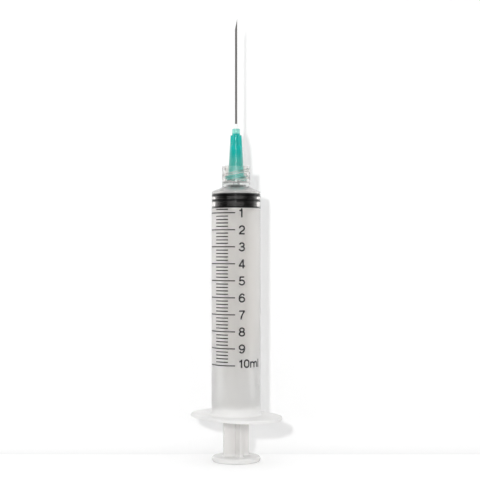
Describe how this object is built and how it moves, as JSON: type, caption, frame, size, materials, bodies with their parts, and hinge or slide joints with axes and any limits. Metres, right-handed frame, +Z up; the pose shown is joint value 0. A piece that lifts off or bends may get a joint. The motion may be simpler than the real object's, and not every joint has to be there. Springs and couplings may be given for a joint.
{
  "type": "luer lock syringe",
  "caption": "Disposable syringe with a threaded luer lock collar, a screwed-on needle, a sliding plunger with a rubber gasket, an oval finger flange and a round thumb rest.",
  "frame": {"origin": "centre of the thumb rest's underside, on the common axis of all pieces", "axes": "+Z up the common axis to the needle's point; -Y is the side that carries the scale; +X to the right of someone who faces the scale"},
  "size_m": [0.0314, 0.0332, 0.152],
  "materials": {
    "barrel_plastic": "translucent milky polypropylene",
    "gasket_rubber": "black, slightly shiny with silicone oil",
    "rod_plastic": "translucent milky polypropylene",
    "hub_plastic": "translucent green polypropylene",
    "needle_steel": "drawn stainless tube",
    "adhesive": "cured white adhesive"
  },
  "bodies": {
    "rod": {"plunger_rod": "rod_plastic"},
    "seal": {"gasket": "gasket_rubber"},
    "barrel": {"barrel": "barrel_plastic"},
    "needle_carrier": {"adhesive_bead": "adhesive"},
    "needle": {"needle_hub": "hub_plastic", "cannula": "needle_steel"}
  },
  "joints": [
    {"name": "rod_swivel", "type": "hinge", "parent": "rod", "child": "seal", "pos_m": [0, 0, 0.0869], "axis": [0, 0, 1], "continuous": true},
    {"name": "plunger_slide", "type": "slide", "parent": "seal", "child": "barrel", "axis": [0, 0, 1], "range_m": [0, 0.067]},
    {"name": "needle_lift", "type": "slide", "parent": "barrel", "child": "needle_carrier", "axis": [0, 0, 1], "range_m": [0, 0.00555]},
    {"name": "needle_turn", "type": "hinge", "parent": "needle_carrier", "child": "needle", "pos_m": [0, 0, 0.096], "axis": [0, 0, 1], "range_deg": [0, 400]}
  ],
  "couplings": [
    {"joint": "needle_turn", "follows": "needle_lift", "rad_per_m": 1256.6}
  ]
}
